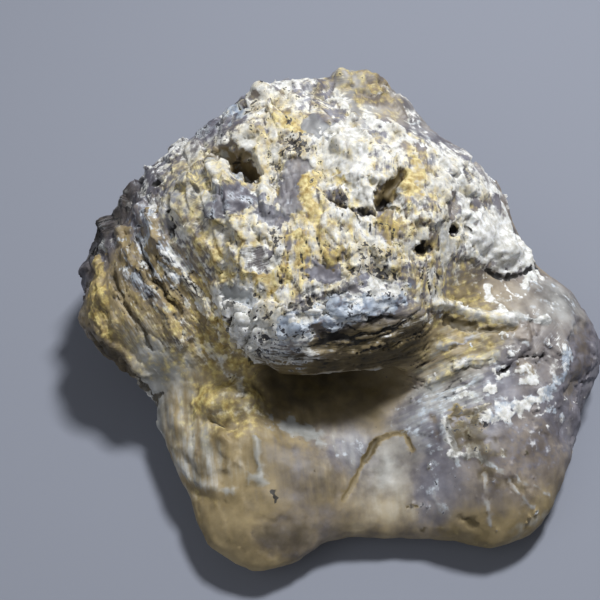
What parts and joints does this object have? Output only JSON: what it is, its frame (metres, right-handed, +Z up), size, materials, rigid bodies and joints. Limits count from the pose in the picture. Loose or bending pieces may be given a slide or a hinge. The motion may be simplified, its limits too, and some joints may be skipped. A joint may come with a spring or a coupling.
{
  "type": "ventifact",
  "caption": "Wind-cut chalcedony stone with a pitted pale crust, an overhanging brow and a smooth hollowed apron, resting on a small flat spot.",
  "frame": {"origin": "middle of the stone's box in plan, on the ground its flat spot rests on", "axes": "+Z up from the flat spot, +X to the stone's right along its width, -Y towards its front, where the brow hangs over the apron"},
  "size_m": [0.061, 0.06, 0.0274],
  "materials": {
    "weathered_chalcedony": "pitted cream and ochre crust over grey-lilac chalcedony, waxy and honey-brown on the smooth feet"
  },
  "bodies": {
    "root": {"stone": "weathered_chalcedony"}
  },
  "joints": []
}
